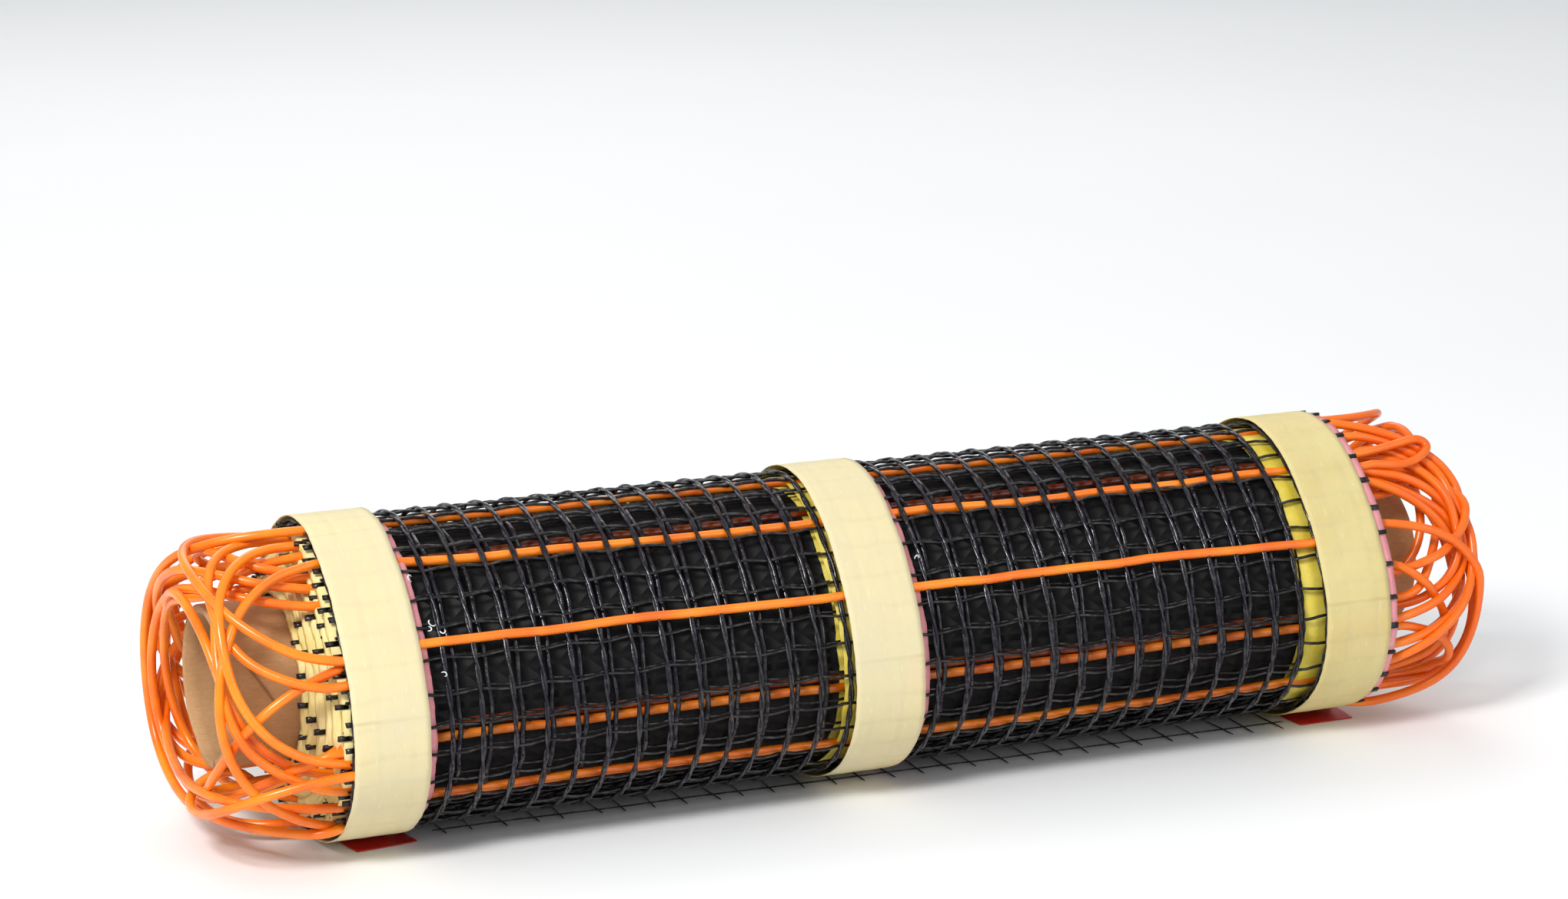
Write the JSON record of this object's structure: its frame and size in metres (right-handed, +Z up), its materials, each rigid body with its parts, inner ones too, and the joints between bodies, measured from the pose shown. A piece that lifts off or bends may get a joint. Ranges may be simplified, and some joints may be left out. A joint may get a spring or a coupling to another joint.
{
  "type": "underfloor heating mat roll",
  "caption": "Underfloor heating mat rolled on a cardboard core: black mesh with an orange cable looping past both edges, held by paper tapes.",
  "frame": {"origin": "middle of the underside of the whole part's box, on the floor that the roll lies on", "axes": "+X along the roll, +Z up, the loose mesh end lying out towards -Y"},
  "size_m": [0.501, 0.127, 0.115],
  "materials": {
    "kraft_board": "bare brown kraft paperboard, matt",
    "black_mesh": "coated glass fibre strands, black and shiny",
    "orange_cable": "smooth orange sheath, satin",
    "paper_tape": "cream release paper, satin",
    "pink_film": "pink film, satin",
    "red_tab": "dark red film, shiny"
  },
  "bodies": {
    "root": {"core_tube": "kraft_board", "mesh_roll": "black_mesh", "mesh_free_end": "black_mesh", "heating_cable": "orange_cable", "tape_left": "paper_tape", "tape_middle": "paper_tape", "tape_right": "paper_tape", "tape_film_left": "pink_film", "tape_film_middle": "pink_film", "tape_film_right": "pink_film", "pull_tab_left": "red_tab", "pull_tab_right": "red_tab"}
  },
  "joints": []
}
